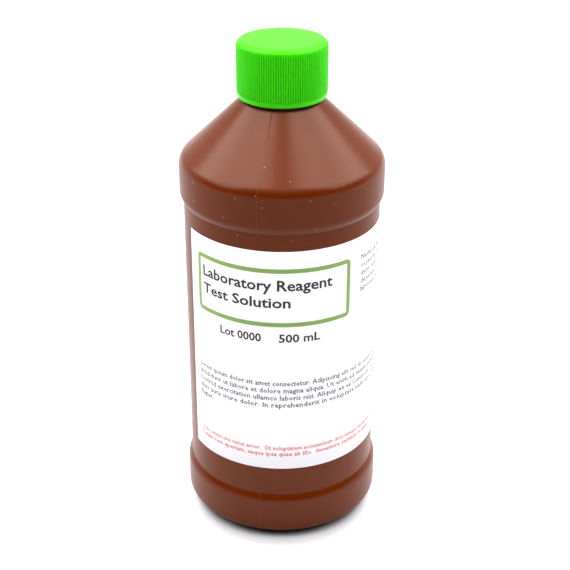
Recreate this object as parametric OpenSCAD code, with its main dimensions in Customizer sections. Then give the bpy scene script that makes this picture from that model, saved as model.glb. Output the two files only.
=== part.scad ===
// Reagent bottle, 500 ml nominal, with a ribbed 28-410 screw cap.
// Millimetres. +Z is up, the bottle stands on z = 0, its axis is the Z axis.
// The front of the label faces -Y.

/* [Body] */
// Diameter of the shoulder ring, the widest part
body_d = 72.0; // [68:0.5:80]
// How far the foot is set in from the shoulder ring, on the radius
foot_inset = 0.0; // [0:0.05:0.5]
// How deep the label panel is sunk, on the radius
panel_depth = 1.35; // [0.5:0.05:2.5]
// Height of the top of the foot
foot_top = 16.6; // [10:0.1:18]
// Height over which the foot slopes in to the panel
foot_slope = 2.2; // [1.5:0.1:5]
// Height of the top of the label panel
panel_top = 123.3; // [100:0.1:126]
// Height over which the panel steps out to the shoulder ring
ring_step = 2.2; // [1.5:0.1:4]
// Radius of the turns at the foot's top edge and the ring's lower edge
edge_r = 5.0; // [2:0.5:5]
// Height of the top of the shoulder ring's straight side
ring_top = 134.6; // [130:0.1:138]
// Radius of the turn from the ring to the shoulder
shoulder_r = 8.5; // [4:0.1:12]
// Slope of the shoulder, in degrees from level
shoulder_slope = 43.9; // [35:0.1:46]
// Wall thickness
wall = 1.1; // [0.7:0.05:1.4]

/* [Base] */
// Width of the heel's turn, on the radius
heel_w = 8.55; // [4:0.05:10]
// Height of the heel's turn
heel_h = 5.5; // [3:0.05:8]
// Inner radius of the ring the bottle stands on
stand_r = 23.5; // [15:0.5:26]
// Height of the push-up at the middle of the base
push_h = 4.0; // [1:0.1:6]

/* [Parting line] */
// Direction of the mould's parting plane, in degrees from +X
seam_angle = 257.0; // [250:0.1:280]
// Height of the parting line's ridge
seam_h = 0.15; // [0.05:0.01:0.3]
// Width of the parting line's ridge
seam_w = 0.4; // [0.2:0.05:0.8]

/* [Neck] */
// Diameter of the neck under its thread
neck_d = 25.0; // [24.8:0.05:25.05]
// Diameter over the neck's thread
thread_d = 27.4; // [27.0:0.05:27.45]
// Bore of the neck
bore_d = 21.2; // [18:0.1:22]
// Height of the lip
lip_z = 177.0; // [176.5:0.1:177]
// Radius of the lip's edges
lip_r = 0.4; // [0.2:0.05:0.6]
// Rise of the thread in one turn
pitch = 4.2333; // [4.2:0.0001:4.3]
// Turns of thread on the neck and in the cap
thread_turns = 1.5; // [1:0.25:1.75]
// From the lip down to the top of the thread
thread_drop = 1.2; // [1:0.05:1.5]

/* [Cap] */
// Diameter over the cap's ribs
cap_d = 31.2; // [30.4:0.1:31.4]
// Depth of the grooves between the ribs
rib_depth = 0.4; // [0.2:0.05:0.5]
// Number of ribs
rib_count = 120; // [60:1:144]
// Height of the cap
cap_h = 19.5; // [19:0.1:20]
// Height of the cap's lower edge above the base
cap_z = 160.0; // [159.8:0.1:160.4]
// Radius of the cap's top edge
cap_edge_r = 2.0; // [1:0.1:2.4]
// Height of the smooth band round the cap's lower edge
band_h = 1.9; // [1:0.1:3]
// How far the band is set in from the ribs' tips
band_inset = 0.2; // [0.1:0.05:0.3]
// Thickness of the cap's top
cap_top_wall = 1.5; // [1.3:0.1:1.5]
// Bore of the cap
cap_bore_d = 27.9; // [27.8:0.05:28.1]
// Diameter inside the cap's thread
cap_thread_d = 25.5; // [25.4:0.05:25.7]
// Play between the two threads where they bear
thread_play = 0.2; // [0.1:0.05:0.3]

/* [Liner] */
// Diameter of the sealing disc
liner_d = 27.4; // [26:0.1:27.6]
// Thickness of the sealing disc
liner_t = 0.9; // [0.6:0.05:0.95]
// Gap between the lip and the disc
liner_gap = 0.05; // [0.02:0.01:0.1]

/* [Label] */
// Height of the label's lower edge
label_z = 30.3; // [22:0.1:40]
// Height of the label
label_h = 86.9; // [60:0.1:88]
// Thickness of the label
label_t = 0.12; // [0.08:0.01:0.2]
// Direction of the label's leading edge, in degrees from +X
label_start = 205.5; // [190:0.5:230]
// How far round the label reaches, in degrees
label_wrap = 313.0; // [200:1:350]

/* [Hidden] */
$fn = 120;

body_r = body_d / 2;
foot_r = body_r - foot_inset;
panel_r = body_r - panel_depth;
neck_r = neck_d / 2;
bore_r = bore_d / 2;
cap_r = cap_d / 2;
valley_r = cap_r - rib_depth;
band_r = cap_r - band_inset;
cap_bore_r = cap_bore_d / 2;
cap_top = cap_z + cap_h;
ceiling_z = cap_top - cap_top_wall;

// The thread's section: width at its foot and at its crest
neck_foot_w = 2.2;
neck_crest_w = 0.9;
cap_foot_w = 1.6;
cap_crest_w = 0.8;
// How far a thread's foot is sunk into the wall it stands on
thread_sink = 0.3;
// Turns over which a thread's ends fade out
thread_fade = 0.08;
thread_steps = 60;
// Where the threads start, in degrees from +X
thread_start = 150;

neck_thread_z = lip_z - thread_drop - neck_foot_w / 2 - pitch * thread_turns;
// The two sections' half widths where they come closest, and the play
thread_offset = neck_foot_w / 2 + cap_crest_w / 2 + thread_play;

turn_steps = 10;
over = 1;

// Points on a quarter-like turn of radii rx and rz, from one angle to another
function turn(cx, cz, rx, rz, from, to, steps) =
    [for (i = [0:steps]) let (a = from + (to - from) * i / steps)
        [cx + rx * cos(a), cz + rz * sin(a)]];

// Underside of the push-up at a radius, with a flat spot in the middle
function push_up(r) = push_h * (1 - pow(max(r / stand_r, 1 / turn_steps), 2));

// Height of the shoulder's slope at a radius, moved in by inset
function slope_z(r, inset) =
    ring_top + (shoulder_r - inset) * cos(shoulder_slope)
    + (body_r - shoulder_r + (shoulder_r - inset) * sin(shoulder_slope) - r)
    * tan(shoulder_slope);

// Turn of an edge where an upright side leans in to the panel, moved in by inset
function lean(r, z, step, side, inset) =
    let (s = atan((r - panel_r) / step))
        turn(r - edge_r, z - side * edge_r * tan(s / 2), edge_r - inset, edge_r - inset,
             side > 0 ? 0 : -s, side > 0 ? s : 0, 5);

// Half section of the body moved in by inset, with a plain neck on it
module vessel_section(inset, top_r, top_z) {
    polygon(concat(
        [for (i = [0:turn_steps]) let (r = stand_r * i / turn_steps) [r, push_up(r) + inset]],
        turn(foot_r - heel_w, heel_h, heel_w - inset, heel_h - inset, -90, 0, turn_steps),
        lean(foot_r, foot_top, foot_slope, 1, inset),
        [[panel_r - inset, foot_top + foot_slope],
         [panel_r - inset, panel_top]],
        lean(body_r, panel_top + ring_step, ring_step, -1, inset),
        turn(body_r - shoulder_r, ring_top, shoulder_r - inset, shoulder_r - inset,
             0, 90 - shoulder_slope, turn_steps),
        [[top_r, slope_z(top_r, inset)],
         [top_r, top_z],
         [0, top_z]]
    ));
}

// Fine ridge left by the mould up both sides and across the base, left off where the label lies
module parting_line() {
    for (side = [0, 180])
        rotate([0, 0, seam_angle + side])
            rotate([90, 0, 0])
                translate([0, 0, -seam_w / 2])
                    linear_extrude(seam_w)
                        intersection() {
                            difference() {
                                vessel_section(-seam_h, neck_r - seam_h, lip_z - over);
                                vessel_section(wall / 2, bore_r + over, lip_z);
                            }
                            union() {
                                square([body_d, foot_top + foot_slope + over]);
                                translate([0, panel_top - over])
                                    square([body_d, cap_z - panel_top]);
                            }
                        }
}

// Helical rib on a wall, standing out from foot_r to crest_r, its ends fading out
module thread(foot_r, crest_r, foot_w, crest_w, low_z) {
    outward = crest_r > foot_r;
    steps = ceil(thread_steps * thread_turns);
    sink = outward ? -thread_sink : thread_sink;
    points = [for (i = [0:steps])
        let (t = thread_turns * i / steps,
             fade = min(1, 0.06 + t / thread_fade, 0.06 + (thread_turns - t) / thread_fade),
             r = foot_r + (crest_r - foot_r) * fade,
             a = thread_start + 360 * t,
             z = low_z + pitch * t,
             w = foot_w + (crest_w - foot_w) * fade)
        each [[(foot_r + sink) * cos(a), (foot_r + sink) * sin(a), z - foot_w / 2],
              [r * cos(a), r * sin(a), z - w / 2],
              [r * cos(a), r * sin(a), z + w / 2],
              [(foot_r + sink) * cos(a), (foot_r + sink) * sin(a), z + foot_w / 2]]];
    sides = [for (i = [0:steps - 1]) for (k = [0:3])
        let (a = 4 * i + k, b = 4 * i + (k + 1) % 4)
        each [[a, b, b + 4], [a, b + 4, a + 4]]];
    ends = [[3, 2, 1, 0], [for (k = [0:3]) 4 * steps + k]];
    faces = concat(sides, ends);
    polyhedron(points, outward ? faces : [for (f = faces) [for (k = [len(f) - 1:-1:0]) f[k]]]);
}

// Half section of the cap's outside at a radius, with its rounded top edge
module cap_section(r, low_z) {
    translate([0, low_z])
        square([r - cap_edge_r, cap_top - low_z]);
    translate([0, low_z])
        square([r, cap_top - cap_edge_r - low_z]);
    translate([r - cap_edge_r, cap_top - cap_edge_r])
        circle(cap_edge_r);
}

// Ribbed wall of the cap, one rib and one groove in each step
module rib_ring() {
    step = 360 / rib_count;
    translate([0, 0, cap_z + band_h / 2])
        linear_extrude(cap_h)
            polygon([for (i = [0:rib_count - 1])
                for (corner = [[0.10, valley_r], [0.32, cap_r], [0.68, cap_r], [0.90, valley_r]])
                    [corner[1] * cos(step * (i + corner[0])),
                     corner[1] * sin(step * (i + corner[0]))]]);
}

module bottle() {
    color("SaddleBrown")
    union() {
        difference() {
            union() {
                rotate_extrude()
                    vessel_section(0, neck_r, lip_z - lip_r);
                rotate_extrude()
                    polygon(concat(
                        [[bore_r - lip_r, lip_z - 2 * lip_r], [neck_r, lip_z - 2 * lip_r]],
                        turn(neck_r - lip_r, lip_z - lip_r, lip_r, lip_r, 0, 90, 4),
                        turn(bore_r + lip_r, lip_z - lip_r, lip_r, lip_r, 90, 180, 4)));
                parting_line();
            }
            rotate_extrude()
                vessel_section(wall, bore_r, lip_z + over);
        }
        thread(neck_r, thread_d / 2, neck_foot_w, neck_crest_w, neck_thread_z);
    }
}

module screw_cap() {
    color("LimeGreen")
    union() {
        difference() {
            union() {
                intersection() {
                    rib_ring();
                    rotate_extrude()
                        cap_section(cap_r, cap_z + band_h);
                }
                rotate_extrude()
                    polygon(concat(
                        [[0, cap_z], [band_r - 0.5, cap_z]],
                        turn(band_r - 0.5, cap_z + 0.5, 0.5, 0.5, -90, 0, 4),
                        [[band_r, cap_z + band_h], [0, cap_z + band_h]]));
            }
            translate([0, 0, cap_z - over])
                cylinder(h = ceiling_z - cap_z + over, r = cap_bore_r);
        }
        thread(cap_bore_r, cap_thread_d / 2, cap_foot_w, cap_crest_w,
               neck_thread_z - thread_offset);
    }
}

module cap_liner() {
    color("White")
        translate([0, 0, lip_z + liner_gap])
            cylinder(h = liner_t, d = liner_d);
}

module label() {
    color("WhiteSmoke")
        rotate([0, 0, label_start])
            rotate_extrude(angle = label_wrap)
                translate([panel_r, label_z])
                    square([label_t, label_h]);
}

bottle();
screw_cap();
cap_liner();
label();
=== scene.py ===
"""Looks for a brown screw-cap reagent bottle, built round its CAD frame.

Metres, +Z up. The bottle stands on z = 0 and the front of its label faces -Y.
Sizes in the pieces' classes are in millimetres, as on a drawing, and MM turns them to
metres. The studio's are in metres.
"""

import logging
import math
from collections.abc import Sequence
from dataclasses import dataclass, field
from enum import Enum
from typing import Any

import bmesh
import bpy
from mathutils import Euler, Matrix, Vector


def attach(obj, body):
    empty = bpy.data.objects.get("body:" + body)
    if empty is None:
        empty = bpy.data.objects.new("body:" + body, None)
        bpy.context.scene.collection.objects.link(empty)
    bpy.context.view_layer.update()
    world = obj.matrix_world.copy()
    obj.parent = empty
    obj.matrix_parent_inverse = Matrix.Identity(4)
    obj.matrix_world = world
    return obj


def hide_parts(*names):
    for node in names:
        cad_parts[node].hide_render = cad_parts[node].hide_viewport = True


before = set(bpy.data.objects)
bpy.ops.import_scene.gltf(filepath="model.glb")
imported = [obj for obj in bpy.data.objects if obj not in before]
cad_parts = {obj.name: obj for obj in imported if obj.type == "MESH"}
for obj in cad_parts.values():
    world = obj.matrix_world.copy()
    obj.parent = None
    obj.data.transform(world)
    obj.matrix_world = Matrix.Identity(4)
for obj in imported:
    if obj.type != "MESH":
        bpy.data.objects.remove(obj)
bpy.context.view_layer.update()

LOG = logging.getLogger("reagent_bottle")
MM = 0.001
FULL_TURN = 2.0 * math.pi
FRONT = math.radians(270.0)
# The built-in face's capitals stand this share of its size
CAPITAL_SHARE = 0.7

Point = tuple[float, float]
Colour = tuple[float, float, float, float]


# ---------------------------------------------------------------- helpers


def linear(hex_colour: str) -> Colour:
    """Turns an sRGB hex colour to the linear RGBA that shaders work in.

    Args:
        hex_colour: six hex digits after a #.

    Returns:
        Red, green, blue and an alpha of 1.
    """
    parts = [int(hex_colour[i : i + 2], 16) / 255.0 for i in (1, 3, 5)]
    red, green, blue = (
        c / 12.92 if c <= 0.04045 else ((c + 0.055) / 1.055) ** 2.4 for c in parts
    )
    return red, green, blue, 1.0


def add_node(
    tree: bpy.types.NodeTree,
    kind: str,
    settings: dict[str, Any] | None = None,
    values: dict[str | int, Any] | None = None,
    links: dict[str | int, bpy.types.NodeSocket] | None = None,
) -> bpy.types.Node:
    """Adds one node with its settings, its sockets' values and its incoming links.

    Args:
        tree: the tree the node goes in.
        kind: the node's Blender type name.
        settings: attributes of the node.
        values: default values of its input sockets.
        links: sockets of other nodes that feed its input sockets.

    Returns:
        The new node.
    """
    node = tree.nodes.new(kind)
    for name, value in (settings or {}).items():
        setattr(node, name, value)
    for name, value in (values or {}).items():
        node.inputs[name].default_value = value
    for name, source in (links or {}).items():
        tree.links.new(source, node.inputs[name])
    return node


def joined(
    tree: bpy.types.NodeTree, operation: str, sources: Sequence[bpy.types.NodeSocket]
) -> bpy.types.NodeSocket:
    """Joins several sockets' values, two at a time.

    Args:
        tree: their tree.
        operation: what is done to each pair.
        sources: the sockets.

    Returns:
        The socket that holds the result.
    """
    total = sources[0]
    for source in sources[1:]:
        links = {0: total, 1: source}
        total = add_node(tree, "ShaderNodeMath", {"operation": operation}, links=links).outputs[0]
    return total


def start_material(
    name: str, values: dict[str, Any]
) -> tuple[bpy.types.Material, bpy.types.Node, bpy.types.NodeSocket]:
    """Starts a material from the plain shader.

    Args:
        name: the material's name.
        values: default values of the shader's sockets.

    Returns:
        The material, its shader and its object coordinates.
    """
    made = bpy.data.materials.new(name)
    made.use_nodes = True
    shader = made.node_tree.nodes["Principled BSDF"]
    for socket, value in values.items():
        shader.inputs[socket].default_value = value
    place = add_node(made.node_tree, "ShaderNodeTexCoord").outputs["Object"]
    return made, shader, place


def polar(radius: float, angle: float, height: float) -> Vector:
    """Gives the point in metres at a radius, an angle round the axis and a height, in mm."""
    return Vector(
        (radius * math.cos(angle), radius * math.sin(angle), height)
    ) * MM


def arc(
    centre: Point, radii: Point, start: float, end: float, steps: int
) -> list[Point]:
    """Gives points on part of an ellipse.

    Args:
        centre: radius and height of its centre.
        radii: its half width and half height.
        start: first angle, in degrees.
        end: last angle, in degrees.
        steps: how many stretches the arc is cut into.

    Returns:
        The points, in order.
    """
    angles = [math.radians(start + (end - start) * i / steps) for i in range(steps + 1)]
    return [
        (centre[0] + radii[0] * math.cos(a), centre[1] + radii[1] * math.sin(a))
        for a in angles
    ]


def rounded(corners: Sequence[tuple[float, float, float]], steps: int) -> list[Point]:
    """Rounds the corners of a profile, as a mould's edges are.

    Args:
        corners: radius, height and corner radius of each point; 0 keeps it sharp.
        steps: how many stretches each turn is cut into.

    Returns:
        The profile's points.
    """
    points: list[Point] = []
    for i, (x, z, turn) in enumerate(corners):
        if turn == 0.0 or i in (0, len(corners) - 1):
            points.append((x, z))
            continue
        here = Vector((x, z))
        back = (Vector(corners[i - 1][:2]) - here).normalized()
        ahead = (Vector(corners[i + 1][:2]) - here).normalized()
        half = back.angle(ahead) / 2.0
        reach = turn / math.tan(half)
        start, end = here + back * reach, here + ahead * reach
        centre = here + (back + ahead).normalized() * (turn / math.sin(half))
        first, last = start - centre, end - centre
        sweep = first.angle_signed(last)
        for k in range(steps + 1):
            spoke = first.copy()
            spoke.rotate(Matrix.Rotation(-sweep * k / steps, 2))
            points.append(tuple(centre + spoke))
    return points


def link_mesh(name: str, mesh: bpy.types.Mesh, smooth: bool = True) -> bpy.types.Object:
    """Puts a mesh in the scene as an object at the origin.

    Args:
        name: the object's name.
        mesh: its mesh.
        smooth: whether its faces are shaded smooth.

    Returns:
        The object.
    """
    mesh.name = name
    for polygon in mesh.polygons:
        polygon.use_smooth = smooth
    piece = bpy.data.objects.new(name, mesh)
    bpy.context.scene.collection.objects.link(piece)
    return piece


def mesh_piece(
    name: str,
    vertices: Sequence[Vector],
    edges: Sequence[tuple[int, int]] = (),
    faces: Sequence[Sequence[int]] = (),
) -> bpy.types.Object:
    """Makes a piece from vertices in metres, and edges or faces.

    Args:
        name: the piece's name.
        vertices: its points.
        edges: loose edges, as a profile has.
        faces: its faces.

    Returns:
        The piece, at the origin.
    """
    mesh = bpy.data.meshes.new(name)
    mesh.from_pydata([tuple(v) for v in vertices], list(edges), list(faces))
    return link_mesh(name, mesh)


def turned(
    name: str, profile: Sequence[Point], steps: int, angle: float = 0.0
) -> bpy.types.Object:
    """Turns a profile about the Z axis with a live Screw modifier.

    Args:
        name: the piece's name.
        profile: radius and height of each point in mm, from top to bottom outside.
        steps: stretches in one turn.
        angle: where the profile stands round the axis.

    Returns:
        The piece, with its stack live.
    """
    vertices = [polar(r, angle, z) for r, z in profile]
    edges = [(i, i + 1) for i in range(len(profile) - 1)]
    piece = mesh_piece(name, vertices, edges)
    screw = piece.modifiers.new("turn", "SCREW")
    screw.axis = "Z"
    screw.angle = FULL_TURN
    screw.steps = screw.render_steps = steps
    screw.use_merge_vertices = True
    screw.merge_threshold = 0.002 * MM
    screw.use_smooth_shade = True
    return piece


def subdivided(piece: bpy.types.Object, levels: int) -> None:
    """Adds a live subdivision surface with the same levels everywhere."""
    stack = piece.modifiers.new("round", "SUBSURF")
    stack.levels = stack.render_levels = levels


def apply_stack(piece: bpy.types.Object) -> None:
    """Replaces a piece's mesh with what its modifiers make of it.

    Args:
        piece: the piece, whose stack is emptied.
    """
    graph = bpy.context.evaluated_depsgraph_get()
    mesh = bpy.data.meshes.new_from_object(piece.evaluated_get(graph))
    piece.modifiers.clear()
    old = piece.data
    piece.data = mesh
    bpy.data.meshes.remove(old)
    mesh.name = piece.name


def finish_piece(
    piece: bpy.types.Object,
    body: str,
    material: bpy.types.Material,
    replaced: Sequence[str] = (),
) -> None:
    """Dresses a piece, sets the body it rides on and hides the CAD nodes it's shown in place of.

    Args:
        piece: the piece.
        body: the CAD body it moves with.
        material: its finish.
        replaced: CAD nodes it's shown in place of.
    """
    piece.data.materials.clear()
    piece.data.materials.append(material)
    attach(piece, body)
    if replaced:
        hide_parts(*replaced)
    LOG.info("%s rides on %s, %d faces in its cage", piece.name, body, len(piece.data.polygons))


# ---------------------------------------------------------------- finishes


class Ink(Enum):
    """The label's printing inks."""

    BLACK = "#1c1a20"
    GREY = "#57545c"
    RED = "#c9504a"
    GREEN = "#7d9c50"


class Pattern(Enum):
    """Patterns that a finish is made of."""

    CLOUD = "ShaderNodeTexNoise"
    CELLS = "ShaderNodeTexVoronoi"


@dataclass(frozen=True)
class Grain:
    """A pattern at its real size, and how strong and deep it is where it's in relief."""

    size_mm: float
    detail: float
    coarseness: float = 0.5
    strength: float = 0.0
    depth_mm: float = 0.0
    pattern: Pattern = Pattern.CLOUD


def paint(
    made: bpy.types.Material,
    shader: bpy.types.Node,
    place: bpy.types.NodeSocket,
    tone: Grain,
    colours: tuple[Colour, Colour],
    reliefs: Sequence[Grain] = (),
) -> bpy.types.NodeSocket:
    """Mottles a shader in two colours and gives it its reliefs.

    Args:
        made: the material.
        shader: its shader.
        place: its object coordinates.
        tone: the mottle's pattern.
        colours: the colours where that pattern is lowest and highest.
        reliefs: the reliefs, one on another.

    Returns:
        The socket that holds the colour.
    """
    tree = made.node_tree
    patterns = [
        add_node(
            tree,
            grain.pattern.value,
            values={
                "Scale": 1.0 / (grain.size_mm * MM),
                "Detail": grain.detail,
                "Roughness": grain.coarseness,
            },
            links={"Vector": place},
        ).outputs[0]
        for grain in (tone, *reliefs)
    ]
    colour = add_node(
        tree,
        "ShaderNodeMix",
        settings={"data_type": "RGBA"},
        values={6: colours[0], 7: colours[1]},
        links={"Factor": patterns[0]},
    ).outputs[2]
    tree.links.new(colour, shader.inputs["Base Color"])
    normal: dict[str | int, bpy.types.NodeSocket] = {}
    for grain, height in zip(reliefs, patterns[1:]):
        bump = add_node(
            tree,
            "ShaderNodeBump",
            values={"Strength": grain.strength, "Distance": grain.depth_mm * MM},
            links={"Height": height, **normal},
        )
        normal = {"Normal": bump.outputs["Normal"]}
    for name, source in normal.items():
        tree.links.new(source, shader.inputs[name])
    return colour


@dataclass(frozen=True)
class BlownPolyethylene:
    """Brown high-density polyethylene, extrusion blown in a grit-blasted mould.

    Pigmented right through, so it hides what it holds. The blasted mould gives a satin
    skin: a deep red brown under a soft, milky reflection, with faint waves in the wall.
    """

    name: str = "brown_blown_hdpe"
    colour: str = "#6a2f02"
    dark: str = "#632c02"
    dust: str = "#d9c3b0"
    roughness: float = 0.29
    ior: float = 1.54
    gloss: float = 0.33
    mottle: Grain = Grain(9.0, 3.0, 0.6)
    # The blasted grit is finer than this, which is as coarse as it needs to be to show
    grit: Grain = Grain(0.35, 2.0, strength=0.1, depth_mm=0.02)
    wave: Grain = Grain(16.0, 1.0, strength=0.25, depth_mm=0.5)
    dust_cell_mm: float = 3.4
    dust_reach: float = 0.04
    dust_low_mm: float = 121.0
    dust_high_mm: float = 147.0

    def material(self) -> bpy.types.Material:
        """Builds the material: pigment mottle, mould grain, wall waves and specks of dust.

        Returns:
            The material.
        """
        made, shader, place = start_material(
            self.name,
            {"Roughness": self.roughness, "IOR": self.ior, "Specular IOR Level": self.gloss},
        )
        tones = linear(self.dark), linear(self.colour)
        pigment = paint(made, shader, place, self.mottle, tones, (self.grit, self.wave))
        coat = add_node(
            made.node_tree,
            "ShaderNodeMix",
            settings={"data_type": "RGBA"},
            values={7: linear(self.dust)},
            links={"Factor": self.dust_mask(made.node_tree, place), 6: pigment},
        )
        made.node_tree.links.new(coat.outputs[2], shader.inputs["Base Color"])
        return made

    def dust_mask(
        self, tree: bpy.types.NodeTree, place: bpy.types.NodeSocket
    ) -> bpy.types.NodeSocket:
        """Picks out sparse pale specks round the shoulder, where dust settles and clings.

        Args:
            tree: the material's tree.
            place: its object coordinates.

        Returns:
            A socket that is 1 on a speck.
        """
        cells = add_node(
            tree,
            "ShaderNodeTexVoronoi",
            values={"Scale": 1.0 / (self.dust_cell_mm * MM), "Randomness": 1.0},
            links={"Vector": place},
        ).outputs["Distance"]
        height = add_node(tree, "ShaderNodeSeparateXYZ", links={"Vector": place}).outputs["Z"]
        tests = [
            add_node(
                tree,
                "ShaderNodeMath",
                settings={"operation": operation},
                values={1: limit},
                links={0: source},
            ).outputs[0]
            for operation, limit, source in (
                ("LESS_THAN", self.dust_reach, cells),
                ("GREATER_THAN", self.dust_low_mm * MM, height),
                ("LESS_THAN", self.dust_high_mm * MM, height),
            )
        ]
        return joined(tree, "MULTIPLY", tests)


@dataclass(frozen=True)
class MouldedPolypropylene:
    """Bright green polypropylene, injection moulded with a fine spark-eroded texture.

    It gives an even, saturated colour under a soft sheen.
    """

    name: str = "green_moulded_polypropylene"
    colour: str = "#4bce00"
    dark: str = "#47c300"
    roughness: float = 0.28
    ior: float = 1.49
    gloss: float = 0.3
    flow: Grain = Grain(6.0, 2.0)
    # The spark pits are finer than this, which is as coarse as they need to be to show
    spark: Grain = Grain(0.22, 2.0, strength=0.12, depth_mm=0.02)

    def material(self) -> bpy.types.Material:
        """Builds the material: even pigment, slight flow mottle and spark-eroded grain.

        Returns:
            The material.
        """
        made, shader, place = start_material(
            self.name,
            {"Roughness": self.roughness, "IOR": self.ior, "Specular IOR Level": self.gloss},
        )
        tones = linear(self.dark), linear(self.colour)
        paint(made, shader, place, self.flow, tones, (self.spark,))
        return made


@dataclass(frozen=True)
class FoamedPolyethylene:
    """White closed-cell polyethylene foam, skived into sheet and punched.

    The cut cells, pale with darker walls, give a matt white with fine dimples.
    """

    name: str = "white_polyethylene_foam"
    colour: str = "#efeee8"
    shade: str = "#dcdad2"
    roughness: float = 0.7
    cells: Grain = Grain(0.4, 0.0, strength=0.3, depth_mm=0.05, pattern=Pattern.CELLS)

    def material(self) -> bpy.types.Material:
        """Builds the material: pale cells with darker walls, and a dimple to each cell.

        Returns:
            The material.
        """
        made, shader, place = start_material(self.name, {"Roughness": self.roughness})
        tones = linear(self.colour), linear(self.shade)
        paint(made, shader, place, self.cells, tones, (self.cells,))
        return made


@dataclass(frozen=True)
class CoatedPaper:
    """White coated label paper, calendered.

    It gives a smooth near white, with a faint fibre cloud under the coating.
    """

    name: str = "white_coated_paper"
    colour: str = "#ebe9eb"
    cloud: str = "#e6e4e7"
    roughness: float = 0.5
    fibre: Grain = Grain(0.8, 3.0, strength=0.08, depth_mm=0.02)

    def material(self) -> bpy.types.Material:
        """Builds the material: two near whites, and a very low tooth.

        Returns:
            The material.
        """
        made, shader, place = start_material(self.name, {"Roughness": self.roughness})
        tones = linear(self.cloud), linear(self.colour)
        paint(made, shader, place, self.fibre, tones, (self.fibre,))
        return made


@dataclass(frozen=True)
class PrintedInk:
    """Offset printing ink, laid on the coated paper: a thin, slightly uneven, satin film."""

    ink: Ink
    roughness: float = 0.45
    film: Grain = Grain(0.3, 2.0)
    # How far the paper's white comes through where the film is thinnest
    show_through: float = 0.06

    def material(self) -> bpy.types.Material:
        """Builds the material: the ink's colour, a little thinner in places.

        Returns:
            The material.
        """
        made, shader, place = start_material(
            f"printed_ink_{self.ink.name.lower()}", {"Roughness": self.roughness}
        )
        solid = linear(self.ink.value)
        thin = tuple(c + (1.0 - c) * self.show_through for c in solid[:3]) + (1.0,)
        paint(made, shader, place, self.film, (solid, thin))
        return made


# ---------------------------------------------------------------- pieces


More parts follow.
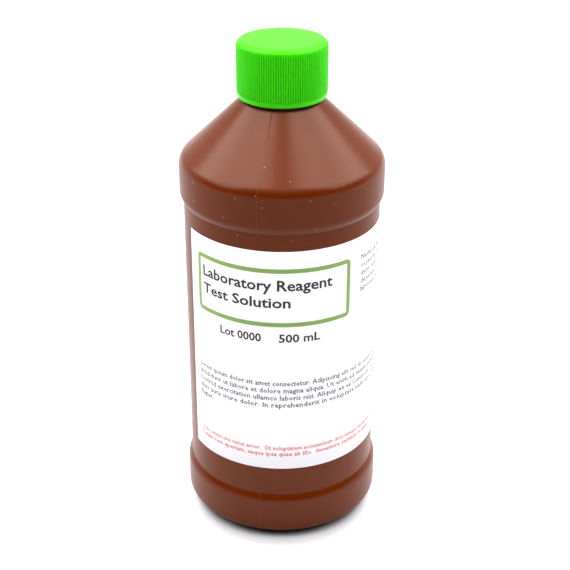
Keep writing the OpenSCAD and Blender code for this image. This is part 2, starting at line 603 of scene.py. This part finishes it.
@dataclass
class Vessel:
    """The blow-moulded bottle: body, shoulder, foot, base, neck and thread."""

    body_r: float = 36.0
    foot_r: float = 36.0
    panel_r: float = 34.65
    foot_top: float = 16.6
    panel_low: float = 18.8
    panel_top: float = 123.3
    ring_low: float = 125.5
    shoulder_corner: float = 138.216
    shoulder_turn: float = 6.0
    slope: float = 43.9
    wall: float = 1.1
    heel_w: float = 8.55
    heel_h: float = 5.5
    stand_r: float = 23.5
    push_h: float = 4.0
    neck_r: float = 12.5
    neck_low: float = 160.83
    bore_r: float = 10.6
    lip_z: float = 177.0
    lip_turn: float = 0.4
    edge_turn: float = 5.0
    crease_turn: float = 0.8
    bore_turn: float = 1.0
    thread_r: float = 13.7
    thread_foot_w: float = 2.2
    thread_crest_w: float = 0.9
    pitch: float = 4.2333
    thread_turns: float = 1.5
    thread_low: float = 168.35
    thread_start: float = 150.0
    seam_angle: float = 257.0
    seam_h: float = 0.1
    seam_w: float = 0.35
    # Out from the neck and down from its foot, where the parting line starts
    seam_start: Point = (1.1, 1.06)
    # How far the parting line runs on to the panel at either end
    seam_reach: float = 1.2
    heel_rise: float = 2.0
    turn_steps: int = 8
    heel_steps: int = 14
    steps: int = 192

    def outside(self) -> list[Point]:
        """Gives the outer profile, from the lip down and under to the axis.

        Returns:
            Radius and height of each point, in mm.
        """
        upper = rounded(
            [
                (self.bore_r, self.lip_z - 1.0, 0.0),
                (self.bore_r, self.lip_z, self.lip_turn),
                (self.neck_r, self.lip_z, self.lip_turn),
                (self.neck_r, self.neck_low, self.crease_turn),
                (self.body_r, self.shoulder_corner, self.shoulder_turn),
                (self.body_r, self.ring_low, self.edge_turn),
                (self.panel_r, self.panel_top, self.crease_turn),
                (self.panel_r, self.panel_low, self.crease_turn),
                (self.foot_r, self.foot_top, self.edge_turn),
                (self.foot_r, self.heel_h + self.heel_rise, 0.0),
            ],
            self.turn_steps,
        )
        heel = arc(
            (self.foot_r - self.heel_w, self.heel_h),
            (self.heel_w, self.heel_h),
            0.0,
            -90.0,
            self.heel_steps,
        )
        return upper + heel + self.push_up(0.0)

    def push_up(self, lift: float) -> list[Point]:
        """Gives the pushed-up base, from its standing ring to the axis.

        Args:
            lift: how far it's raised, in mm.

        Returns:
            Radius and height of each point, in mm.
        """
        steps = self.heel_steps
        radii = [self.stand_r * (1.0 - i / steps) for i in range(steps)]
        dome = [(r, self.push_h * (1.0 - (r / self.stand_r) ** 2) + lift) for r in radii]
        return dome + [(0.0, self.push_h + lift)]

    def inside(self) -> list[Point]:
        """Gives the inner profile, from the axis at the base up to the bore.

        Returns:
            Radius and height of each point, in mm.
        """
        slope = math.radians(self.slope)
        drop = self.wall / math.cos(slope)
        run = math.tan(slope)
        cone_foot = self.body_r - self.wall
        corner = self.shoulder_corner - drop + self.wall * run
        bore_low = corner + (cone_foot - self.bore_r) * run
        heel = arc(
            (self.foot_r - self.heel_w, self.heel_h),
            (self.heel_w - self.wall, self.heel_h - self.wall),
            -90.0,
            0.0,
            self.heel_steps,
        )
        upper = rounded(
            [
                (self.foot_r - self.wall, self.heel_h + self.heel_rise, 0.0),
                (self.foot_r - self.wall, self.foot_top, self.edge_turn - self.wall),
                (self.panel_r - self.wall, self.panel_low, self.crease_turn),
                (self.panel_r - self.wall, self.panel_top, self.crease_turn),
                (cone_foot, self.ring_low, self.edge_turn - self.wall),
                (cone_foot, corner, self.shoulder_turn - self.wall),
                (self.bore_r, bore_low, self.bore_turn),
                (self.bore_r, self.lip_z - 1.5, 0.0),
            ],
            self.turn_steps,
        )
        return list(reversed(self.push_up(self.wall))) + heel + upper

    def body(self) -> bpy.types.Object:
        """Turns the whole wall, inside and outside, in one piece."""
        return turned("bottle_wall", self.inside() + self.outside(), self.steps)

    def thread(self) -> bpy.types.Object:
        """Winds the neck's thread, its ends run out into the neck."""
        return helical_rib(
            "neck_thread",
            HelicalRib(
                self.neck_r, self.thread_r, self.thread_foot_w, self.thread_crest_w,
                self.thread_low, self.pitch, self.thread_turns, self.thread_start,
            ),
        )

    def parting_line(self) -> bpy.types.Object:
        """Lays the mould's parting ridge up both sides and across the base.

        Returns:
            The piece, four closed strips.
        """
        path = self.outside()
        out, down = self.seam_start
        high_run = [(self.neck_r + out, self.neck_low - down)]
        high_run += [p for p in path if self.panel_top - 1.0 < p[1] < self.neck_low - 1.0]
        high_run.append((self.panel_r, self.panel_top - self.seam_reach))
        low_run = [(self.panel_r, self.panel_low + self.seam_reach)]
        low_run += [p for p in path if p[1] < self.panel_low + 1.0]
        vertices: list[Vector] = []
        faces: list[list[int]] = []
        for turn in (0.0, math.pi):
            for run in (high_run, low_run):
                ridge_strip(
                    vertices, faces, run, math.radians(self.seam_angle) + turn,
                    self.seam_w / 2.0, self.seam_h,
                )
        piece = mesh_piece("parting_line", vertices, faces=faces)
        turn_outwards(piece)
        return piece

    def build(self) -> None:
        """Builds the wall, the thread and the parting line, and dresses them."""
        plastic = BlownPolyethylene().material()
        finish_piece(self.body(), "bottle", plastic, ["bottle"])
        finish_piece(self.thread(), "bottle", plastic)
        # Where the mould's halves meet, the skin is drawn thin: paler and rougher
        flash = BlownPolyethylene(
            name="brown_hdpe_parting_skin", colour="#784427", dark="#734024", roughness=0.36
        )
        finish_piece(self.parting_line(), "bottle", flash.material())


@dataclass(frozen=True)
class HelicalRib:
    """Sizes of a thread's rib, in mm and turns.

    The rib stands from foot_r to crest_r, so a crest inside the foot makes a cap's thread.
    """

    foot_r: float
    crest_r: float
    foot_w: float
    crest_w: float
    low_z: float
    pitch: float
    turns: float
    start: float
    sink: float = 0.35
    # Turns over which an end runs out, and the share of the height left there
    fade: float = 0.08
    blunt: float = 0.05
    steps_per_turn: int = 36


def helical_rib(name: str, rib: HelicalRib) -> bpy.types.Object:
    """Sweeps a thread's rib as a coarse cage that a subdivision surface rounds.

    Args:
        name: the piece's name.
        rib: its sizes.

    Returns:
        The piece, closed at both ends.
    """
    out = 1.0 if rib.crest_r > rib.foot_r else -1.0
    steps = math.ceil(rib.steps_per_turn * rib.turns)
    vertices: list[Vector] = []
    faces: list[list[int]] = []
    for i in range(steps + 1):
        t = rib.turns * i / steps
        rise = min(1.0, rib.blunt + t / rib.fade, rib.blunt + (rib.turns - t) / rib.fade)
        angle = math.radians(rib.start) + FULL_TURN * t
        z = rib.low_z + rib.pitch * t
        root = rib.foot_r - out * rib.sink
        crest = rib.foot_r + (rib.crest_r - rib.foot_r) * rise
        width = rib.foot_w + (rib.crest_w - rib.foot_w) * rise
        section = [
            (root, -rib.foot_w / 2.0),
            (rib.foot_r, -rib.foot_w / 2.0),
            (crest, -width / 2.0),
            (crest, width / 2.0),
            (rib.foot_r, rib.foot_w / 2.0),
            (root, rib.foot_w / 2.0),
        ]
        vertices += [polar(r, angle, z + dz) for r, dz in section]
        if i:
            base = 6 * (i - 1)
            for k in range(6):
                a, b = base + k, base + (k + 1) % 6
                faces.append([a, a + 6, b + 6, b])
    faces += [list(range(6)), [6 * steps + k for k in reversed(range(6))]]
    piece = mesh_piece(name, vertices, faces=faces)
    turn_outwards(piece)
    subdivided(piece, 1)
    return piece


def turn_outwards(piece: bpy.types.Object) -> None:
    """Makes a closed mesh's faces point outwards.

    Args:
        piece: the piece.
    """
    shell = bmesh.new()
    shell.from_mesh(piece.data)
    bmesh.ops.recalc_face_normals(shell, faces=shell.faces)
    shell.to_mesh(piece.data)
    shell.free()


def ridge_strip(
    vertices: list[Vector],
    faces: list[list[int]],
    run: Sequence[Point],
    angle: float,
    half_w: float,
    height: float,
) -> None:
    """Adds a low ridge that follows a profile in a plane through the axis.

    Args:
        vertices: list that the ridge's vertices are added to.
        faces: list that its faces are added to.
        run: the profile's points, in mm.
        angle: the plane's angle round the axis.
        half_w: half the ridge's width, in mm.
        height: its height, in mm.
    """
    side = Vector((-math.sin(angle), math.cos(angle), 0.0))
    base = len(vertices)
    # Share of half the width across, and of the height up
    section = [(-1.0, -1.2), (-0.55, 0.75), (0.0, 1.0), (0.55, 0.75), (1.0, -1.2)]
    for i, (r, z) in enumerate(run):
        before = Vector(run[max(i - 1, 0)])
        after = Vector(run[min(i + 1, len(run) - 1)])
        along = (after - before).normalized()
        normal = Vector((-along.y, along.x))
        for across, up in section:
            lift = height * up
            point = polar(r + normal.x * lift, angle, z + normal.y * lift)
            point.z = max(point.z, 0.0)
            vertices.append(point + side * (half_w * across * MM))
    n = len(section)
    for i in range(len(run) - 1):
        for k in range(n):
            a, b = base + n * i + k, base + n * i + (k + 1) % n
            faces.append([a, b, b + n, a + n])
    last = base + n * (len(run) - 1)
    faces.append([base + k for k in reversed(range(n))])
    faces.append([last + k for k in range(n)])


@dataclass
class ScrewCap:
    """The injection-moulded closure: ribbed skirt, smooth band, flat top and thread."""

    top: float = 179.5
    low: float = 160.0
    tip_r: float = 15.6
    groove: float = 0.4
    ribs: int = 120
    edge: float = 2.0
    band_h: float = 1.9
    band_r: float = 15.4
    bore_r: float = 13.95
    ceiling: float = 178.0
    thread_r: float = 12.75
    thread_foot_w: float = 1.6
    thread_crest_w: float = 0.8
    thread_low: float = 166.65
    pitch: float = 4.2333
    thread_turns: float = 1.5
    thread_start: float = 150.0
    edge_steps: int = 6
    weld_mm: float = 0.004

    def rows(self) -> list[tuple[float, float, float]]:
        """Gives the wall's section from the top's middle, out, down and back up inside.

        Returns:
            Radius, height and depth of the groove between ribs at each row, in mm.
        """
        rows = [(0.0, self.top, 0.0), (5.0, self.top, 0.0), (10.5, self.top, 0.0)]
        turn = arc(
            (self.tip_r - self.edge, self.top - self.edge),
            (self.edge, self.edge),
            90.0,
            0.0,
            self.edge_steps,
        )
        # The grooves run out over the rounded edge
        depths = (0.0, 0.0, 0.0, 0.05, 0.2, 0.75, 1.0)
        rows += [(r, z, self.groove * d) for (r, z), d in zip(turn, depths)]
        ledge = self.low + self.band_h
        # Down the ribs to their ledge, down the band, round the lower edge and up inside
        rows += [
            (self.tip_r, self.top - self.edge - 1.2, self.groove),
            (self.tip_r, ledge + 0.35, self.groove),
            (self.tip_r, ledge + 0.08, self.groove),
            (self.band_r + 0.02, ledge, 0.0),
            (self.band_r, ledge - 0.12, 0.0),
            (self.band_r, self.low + 0.6, 0.0),
            (self.band_r - 0.15, self.low + 0.18, 0.0),
            (self.band_r - 0.5, self.low, 0.0),
            (self.bore_r + 0.25, self.low, 0.0),
            (self.bore_r, self.low + 0.25, 0.0),
            (self.bore_r, self.ceiling - 0.3, 0.0),
            (self.bore_r - 0.3, self.ceiling, 0.0),
            (0.0, self.ceiling, 0.0),
        ]
        return rows

    def shell(self) -> bpy.types.Object:
        """Builds one rib's wedge of the wall and repeats it all the way round.

        Returns:
            The piece, closed inside and out.
        """
        step = FULL_TURN / self.ribs
        # Place across one rib's step, and share of the groove's depth there
        half = ((0.16, 0.0), (0.2, 0.1), (0.36, 0.9), (0.4, 1.0), (0.5, 1.0))
        section = [(-across, share) for across, share in reversed(half)] + list(half)
        rows = self.rows()
        vertices = [
            polar(r - depth * share, across * step, z)
            for r, z, depth in rows
            for across, share in section
        ]
        n = len(section)
        faces = [
            [n * i + k, n * (i + 1) + k, n * (i + 1) + k + 1, n * i + k + 1]
            for i in range(len(rows) - 1)
            for k in range(n - 1)
        ]
        piece = mesh_piece("cap_shell", vertices, faces=faces)
        turner = bpy.data.objects.new("rib_step", None)
        bpy.context.scene.collection.objects.link(turner)
        turner.rotation_euler = (0.0, 0.0, step)
        bpy.context.view_layer.update()
        ring = piece.modifiers.new("ribs", "ARRAY")
        ring.count = self.ribs
        ring.use_relative_offset = False
        ring.use_object_offset = True
        ring.offset_object = turner
        ring.use_merge_vertices = False
        apply_stack(piece)
        bpy.data.objects.remove(turner)
        weld(piece, self.weld_mm)
        return piece

    def thread(self) -> bpy.types.Object:
        """Winds the cap's inside thread."""
        return helical_rib(
            "cap_thread",
            HelicalRib(
                self.bore_r, self.thread_r, self.thread_foot_w, self.thread_crest_w,
                self.thread_low, self.pitch, self.thread_turns, self.thread_start,
            ),
        )

    def build(self) -> None:
        """Builds the shell and the thread, and dresses them."""
        plastic = MouldedPolypropylene().material()
        finish_piece(self.shell(), "cap", plastic, ["screw_cap"])
        finish_piece(self.thread(), "cap", plastic)


def weld(piece: bpy.types.Object, distance_mm: float) -> None:
    """Merges a mesh's doubled vertices and makes its faces point outwards.

    Args:
        piece: the piece.
        distance_mm: how far apart two vertices of one corner may lie.
    """
    shell = bmesh.new()
    shell.from_mesh(piece.data)
    bmesh.ops.remove_doubles(shell, verts=shell.verts, dist=distance_mm * MM)
    bmesh.ops.dissolve_degenerate(shell, edges=shell.edges, dist=distance_mm * MM / 10.0)
    bmesh.ops.recalc_face_normals(shell, faces=shell.faces)
    shell.to_mesh(piece.data)
    shell.free()
    for polygon in piece.data.polygons:
        polygon.use_smooth = True


@dataclass
class SealingDisc:
    """The foamed disc in the cap's ceiling."""

    radius: float = 13.7
    low: float = 177.05
    thickness: float = 0.9
    edge: float = 0.15
    edge_steps: int = 4
    steps: int = 96

    def disc(self) -> bpy.types.Object:
        """Turns the disc, its punched edge slightly rounded.

        Returns:
            The piece.
        """
        top = self.low + self.thickness
        profile = rounded(
            [
                (0.0, top, 0.0),
                (self.radius, top, self.edge),
                (self.radius, self.low, self.edge),
                (0.0, self.low, 0.0),
            ],
            self.edge_steps,
        )
        return turned("sealing_disc", profile, self.steps)

    def build(self) -> None:
        """Builds the disc and dresses it."""
        foam = FoamedPolyethylene().material()
        finish_piece(self.disc(), "liner", foam, ["cap_liner"])


@dataclass
class TextLine:
    """One line of print.

    x runs round the label from its front to the right, and z is the height above the base,
    both in mm. With a width, the line is fitted to it.
    """

    words: str
    x: float
    z: float
    height: float
    ink: Ink
    width: float | None = None
    weight: float = 0.0
    detail: int = 2


@dataclass(frozen=True)
class TextBlock:
    """Small print of one ink, its rows under one another at an even spacing.

    Each row holds its words and its width, and all sizes are as in TextLine.
    """

    x: float
    top: float
    spacing: float
    height: float
    ink: Ink
    weight: float
    rows: tuple[tuple[str, float], ...]

    def lines(self) -> list[TextLine]:
        """Gives the rows as lines of print."""
        return [
            TextLine(
                words, self.x, self.top - self.spacing * i, self.height,
                self.ink, width, self.weight, 1,
            )
            for i, (words, width) in enumerate(self.rows)
        ]


@dataclass
class WrapLabel:
    """The printed label, wrapped round the recessed panel."""

    panel_r: float = 34.65
    thickness: float = 0.12
    low: float = 30.3
    height: float = 86.9
    start: float = 205.5
    wrap: float = 313.0
    film: float = 0.02
    # Shares of the two thicknesses that are solid, so that nothing touches what it lies on
    paper_share: float = 0.9
    film_share: float = 0.7
    # Width of the strips that flat print is cut into to follow the curve
    cut: float = 1.0
    frame_left: float = -34.1
    frame_right: float = 25.7
    frame_low: float = 88.8
    frame_high: float = 110.8
    frame_line: float = 1.6
    frame_turn: float = 2.0
    frame_inner_turn: float = 0.5
    rows: int = 8
    steps: int = 240
    lines: list[TextLine] = field(default_factory=list)

    def sheet(self) -> bpy.types.Object:
        """Wraps the sheet round the panel, with its cut edges.

        Returns:
            The piece, with its stack live.
        """
        radius = self.panel_r + self.thickness
        angle = math.radians(self.start)
        rows = range(self.rows + 1)
        heights = [self.low + self.height * (1.0 - i / self.rows) for i in rows]
        piece = turned("label_sheet", [(radius, z) for z in heights], self.steps, angle)
        screw = piece.modifiers["turn"]
        screw.angle = math.radians(self.wrap)
        screw.use_merge_vertices = False
        wall = piece.modifiers.new("paper", "SOLIDIFY")
        wall.thickness = self.thickness * self.paper_share * MM
        wall.offset = -1.0
        return piece

    def on_label(self, x: float, z: float, lift: float) -> Vector:
        """Puts a flat point of print on the curved label."""
        radius = self.panel_r + self.thickness + lift
        return polar(radius, FRONT + x / (self.panel_r + self.thickness), z)

    def bent(self, name: str, flat: bpy.types.Mesh) -> bpy.types.Object:
        """Cuts flat print into narrow strips and lays it on the label as a thin film.

        Args:
            name: the piece's name.
            flat: print in mm, x round the label and y up it.

        Returns:
            The piece, a closed film.
        """
        film = bmesh.new()
        film.from_mesh(flat)
        bmesh.ops.remove_doubles(film, verts=film.verts, dist=0.002)
        left = min(v.co.x for v in film.verts)
        right = max(v.co.x for v in film.verts)
        for k in range(1, math.ceil((right - left) / self.cut)):
            bmesh.ops.bisect_plane(
                film,
                geom=film.verts[:] + film.edges[:] + film.faces[:],
                dist=1e-5,
                plane_co=(left + k * self.cut, 0.0, 0.0),
                plane_no=(1.0, 0.0, 0.0),
            )
        bmesh.ops.dissolve_degenerate(film, dist=0.003, edges=film.edges)
        film.normal_update()
        # A thickened letter can fold over itself: those faces go
        folded = [face for face in film.faces if face.normal.z < 0.5]
        bmesh.ops.delete(film, geom=folded, context="FACES")
        loose = [edge for edge in film.edges if not edge.link_faces]
        bmesh.ops.delete(film, geom=loose, context="EDGES")
        for vert in film.verts:
            vert.co = self.on_label(vert.co.x, vert.co.y, self.film)
        mesh = bpy.data.meshes.new(name)
        film.to_mesh(mesh)
        film.free()
        piece = link_mesh(name, mesh, smooth=False)
        depth = piece.modifiers.new("film", "SOLIDIFY")
        depth.thickness = self.film * self.film_share * MM
        depth.offset = -1.0
        return piece

    def border(self) -> bpy.types.Object:
        """Draws the rounded frame round the title.

        Returns:
            The piece, a closed film.
        """
        flat = bpy.data.meshes.new("border")
        steps = 6
        loops: list[Point] = []
        for inset in (0.0, self.frame_line):
            turn = max(self.frame_turn - inset, self.frame_inner_turn)
            for cx, cz, start in (
                (self.frame_right, self.frame_high, 0.0),
                (self.frame_left, self.frame_high, 90.0),
                (self.frame_left, self.frame_low, 180.0),
                (self.frame_right, self.frame_low, 270.0),
            ):
                sx = -1.0 if cx > 0 else 1.0
                sz = -1.0 if start < 180.0 else 1.0
                centre = (cx + sx * (inset + turn), cz + sz * (inset + turn))
                loops += arc(centre, (turn, turn), start, start + 90.0, steps)
        n = len(loops) // 2
        faces = [[k, (k + 1) % n, n + (k + 1) % n, n + k] for k in range(n)]
        flat.from_pydata([(x, z, 0.0) for x, z in loops], [], faces)
        return self.bent("label_border", flat)

    def print_in(self, ink: Ink) -> bpy.types.Object:
        """Sets every line of one ink.

        Args:
            ink: the ink.

        Returns:
            The piece that holds them, a closed film.
        """
        page = bmesh.new()
        for line in (one for one in self.lines if one.ink is ink):
            mesh = set_type(line)
            page.from_mesh(mesh)
            bpy.data.meshes.remove(mesh)
        flat = bpy.data.meshes.new("page")
        page.to_mesh(flat)
        page.free()
        return self.bent(f"label_print_{ink.name.lower()}", flat)

    def build(self) -> None:
        """Builds the sheet, its border and its print, and dresses them."""
        finish_piece(self.sheet(), "bottle", CoatedPaper().material(), ["label"])
        finish_piece(self.border(), "bottle", PrintedInk(Ink.GREEN).material())
        for ink in (Ink.BLACK, Ink.GREY, Ink.RED):
            finish_piece(self.print_in(ink), "bottle", PrintedInk(ink).material())


def set_type(line: TextLine) -> bpy.types.Mesh:
    """Sets one line of type flat, in mm.

    Args:
        line: what it says, and where.

    Returns:
        Its mesh, x to the right and y up.
    """
    curve = bpy.data.curves.new("type", "FONT")
    curve.body = line.words
    curve.size = line.height / CAPITAL_SHARE
    curve.offset = line.weight
    curve.resolution_u = line.detail
    text = bpy.data.objects.new("type", curve)
    bpy.context.scene.collection.objects.link(text)
    bpy.context.view_layer.update()
    graph = bpy.context.evaluated_depsgraph_get()
    mesh = bpy.data.meshes.new_from_object(text.evaluated_get(graph))
    bpy.data.objects.remove(text)
    bpy.data.curves.remove(curve)
    xs = [v.co.x for v in mesh.vertices]
    left, span = min(xs), max(xs) - min(xs)
    stretch = line.width / span if line.width else 1.0
    for vert in mesh.vertices:
        vert.co.x = line.x + (vert.co.x - left) * stretch
        vert.co.y = line.z + vert.co.y
    return mesh


def label_copy() -> list[TextLine]:
    """Gives the label's print: a plain generic title and placeholder small print.

    Returns:
        Every line on the label.
    """
    lines = [
        TextLine("Laboratory Reagent", -31.0, 102.65, 3.95, Ink.BLACK, 49.0, 0.1),
        TextLine("Test Solution", -31.0, 96.2, 3.75, Ink.BLACK, 34.0, 0.1),
        TextLine("Lot 0000", -23.0, 82.8, 3.1, Ink.BLACK, 15.8, 0.08),
        TextLine("500 mL", -1.0, 82.8, 3.1, Ink.BLACK, 14.6, 0.08),
    ]
    under_title = (
        ("Lorem ipsum dolor sit amet consectetur. Adipiscing elit sed do eiusmod tempor.", 88.0),
        ("incididunt ut labore et dolore magna aliqua. Ut enim ad minim veniam quis", 86.0),
        ("nostrud exercitation ullamco laboris nisi. Aliquip ex ea commodo consequat", 87.0),
        ("duis aute irure dolor. In reprehenderit in voluptate velit esse cillum.", 85.0),
        ("fugiat.", 7.2),
    )
    at_side = (
        ("Nulla pariatur excepteur sint", 38.0),
        ("occaecat cupidatat non proi", 36.5),
        ("dent sunt in culpa qui officia", 38.0),
        ("deserunt mollit anim id est", 35.0),
        ("laborum sed ut perspiciatis.", 36.0),
    )
    at_foot = (
        ("Unde omnis iste natus error.  Sit voluptatem accusantium doloremque laudantium.", 78.0),
        ("Totam rem aperiam, eaque ipsa quae ab illo.  Inventore veritatis et quasi.", 76.0),
    )
    for block in (
        TextBlock(-34.5, 65.25, 2.95, 2.0, Ink.GREY, 0.04, under_title),
        TextBlock(31.3, 108.2, 3.08, 2.1, Ink.GREY, 0.04, at_side),
        TextBlock(-34.8, 38.3, 2.5, 1.75, Ink.RED, 0.035, at_foot),
    ):
        lines += block.lines()
    return lines


# ---------------------------------------------------------------- studio


@dataclass(frozen=True)
class Softbox:
    """A large soft light and where it stands, in metres, aimed at the bottle."""

    name: str
    place: tuple[float, float, float]
    width: float
    height: float
    watts: float


@dataclass(frozen=True)
class Ramp:
    """A smooth rise: where it starts and ends, and its level before and after."""

    start: float
    end: float
    before: float
    after: float

    def follow(
        self, tree: bpy.types.NodeTree, source: bpy.types.NodeSocket
    ) -> bpy.types.NodeSocket:
        """Reads a socket through the ramp.

        Args:
            tree: the socket's tree.
            source: the socket.

        Returns:
            The socket that holds the ramp's level.
        """
        return add_node(
            tree,
            "ShaderNodeMapRange",
            settings={"interpolation_type": "SMOOTHSTEP"},
            values={
                "From Min": self.start,
                "From Max": self.end,
                "To Min": self.before,
                "To Max": self.after,
            },
            links={"Value": source},
        ).outputs["Result"]


@dataclass
class Studio:
    """White floor with painted light and shade round the bottle's foot, soft lights and the
    camera. Places are in metres.
    """

    camera_place: tuple[float, float, float] = (0.0, -0.4161, 0.2994)
    pitch: float = 27.01
    yaw: float = 0.159
    roll: float = 0.147
    lens: float = 80.54
    sensor: float = 36.0
    floor_colour: str = "#b8b8ba"
    floor_roughness: float = 0.8
    floor_half: float = 6.0
    # The floor's painted light is measured from here, a little towards the camera, so that its
    # painted shadow lies in front of the foot
    painted_shadow_centre: tuple[float, float, float] = (0.0, -0.012, 0.0)
    # Painted light and shade: the floor's emission, rising and falling with distance from the
    # bottle
    painted_floor_light: tuple[Ramp, ...] = (
        Ramp(0.026, 0.04, 0.0, 0.45),
        Ramp(0.07, 0.2, 0.0, -0.3),
        Ramp(0.25, 0.9, 0.0, 0.6),
    )
    boxes: tuple[Softbox, ...] = (
        Softbox("left_softbox", (-0.53, -0.02, 0.82), 0.95, 0.95, 9.2),
        Softbox("right_softbox", (0.54, -0.02, 0.8), 0.95, 0.95, 8.8),
    )
    aim: tuple[float, float, float] = (0.0, 0.0, 0.1)
    room_colour: str = "#fbfcff"
    # Pale behind the bottle, dark at eye level on the camera's side of the room
    behind: Ramp = Ramp(0.0, 0.26, 0.02, 0.8)
    # A broad soft glow from the ceiling, a little to the camera's side
    ceiling: Ramp = Ramp(0.72, 1.0, 0.0, 1.05)
    ceiling_way: tuple[float, float, float] = (0.0, -0.4, 1.0)

    def camera(self) -> None:
        """Stands the camera in front of the bottle, looking down at it."""
        lens = bpy.data.cameras.new("camera")
        lens.lens = self.lens
        lens.sensor_width = self.sensor
        lens.clip_start = 0.01
        holder = bpy.data.objects.new("camera", lens)
        holder.location = self.camera_place
        aim = Euler((math.radians(90.0 - self.pitch), 0.0, math.radians(-self.yaw)))
        turn = aim.to_matrix() @ Matrix.Rotation(math.radians(self.roll), 3, "Z")
        holder.rotation_euler = turn.to_euler()
        bpy.context.scene.collection.objects.link(holder)
        bpy.context.scene.camera = holder

    def floor(self) -> None:
        """Lays the white sweep with painted light: an emission that varies with distance from the
        bottle, low by its foot as a painted contact shadow and bright far off.
        """
        half = self.floor_half
        corners = ((-half, -half, 0), (half, -half, 0), (half, half, 0), (-half, half, 0))
        sweep = mesh_piece("floor", [Vector(p) for p in corners], faces=[[0, 1, 2, 3]])
        made, shader, place = start_material(
            "white_sweep_painted_light",
            {
                "Base Color": linear(self.floor_colour),
                "Roughness": self.floor_roughness,
                "Emission Color": (1.0, 1.0, 1.0, 1.0),
            },
        )
        tree = made.node_tree
        # Painted light and shade: emission by distance from the bottle, low by its foot where the
        # contact shadow is painted
        reach = add_node(
            tree,
            "ShaderNodeVectorMath",
            settings={"operation": "DISTANCE"},
            values={1: self.painted_shadow_centre},
            links={0: place},
        )
        painted_light_levels = [ramp.follow(tree, reach.outputs["Value"]) for ramp in self.painted_floor_light]
        tree.links.new(joined(tree, "ADD", painted_light_levels), shader.inputs["Emission Strength"])
        sweep.data.materials.append(made)

    def lights(self) -> None:
        """Hangs the softboxes and sets the pale surroundings."""
        for box in self.boxes:
            lamp = bpy.data.lights.new(box.name, "AREA")
            lamp.shape = "RECTANGLE"
            lamp.size, lamp.size_y = box.width, box.height
            lamp.energy = box.watts
            holder = bpy.data.objects.new(box.name, lamp)
            holder.location = box.place
            aim = Vector(self.aim) - Vector(box.place)
            holder.rotation_euler = aim.to_track_quat("-Z", "Y").to_euler()
            bpy.context.scene.collection.objects.link(holder)
        world = bpy.data.worlds.new("surroundings")
        world.use_nodes = True
        tree = world.node_tree
        tree.nodes.clear()
        way = add_node(tree, "ShaderNodeTexCoord").outputs["Generated"]
        axes = add_node(tree, "ShaderNodeSeparateXYZ", links={"Vector": way})
        toward = add_node(
            tree,
            "ShaderNodeVectorMath",
            settings={"operation": "DOT_PRODUCT"},
            values={1: Vector(self.ceiling_way).normalized()},
            links={0: way},
        )
        lit = [
            self.behind.follow(tree, axes.outputs["Y"]),
            self.ceiling.follow(tree, toward.outputs["Value"]),
        ]
        # The lighting is uneven, but the room itself looks plain and pale all round
        seen = add_node(tree, "ShaderNodeLightPath").outputs["Is Camera Ray"]
        plain = joined(tree, "MAXIMUM", [joined(tree, "ADD", lit), seen])
        sky = add_node(
            tree,
            "ShaderNodeBackground",
            values={"Color": linear(self.room_colour)},
            links={"Strength": plain},
        )
        add_node(tree, "ShaderNodeOutputWorld", links={"Surface": sky.outputs[0]})
        bpy.context.scene.world = world
        bpy.context.scene.view_settings.view_transform = "Standard"
        bpy.context.scene.view_settings.look = "High Contrast"


def main() -> None:
    """Builds the studio and the object, in order."""
    logging.basicConfig(level=logging.INFO, format="%(name)s: %(message)s")
    studio = Studio()
    studio.camera()
    studio.floor()
    studio.lights()
    Vessel().build()
    ScrewCap().build()
    SealingDisc().build()
    WrapLabel(lines=label_copy()).build()


if __name__ == "__main__":
    main()
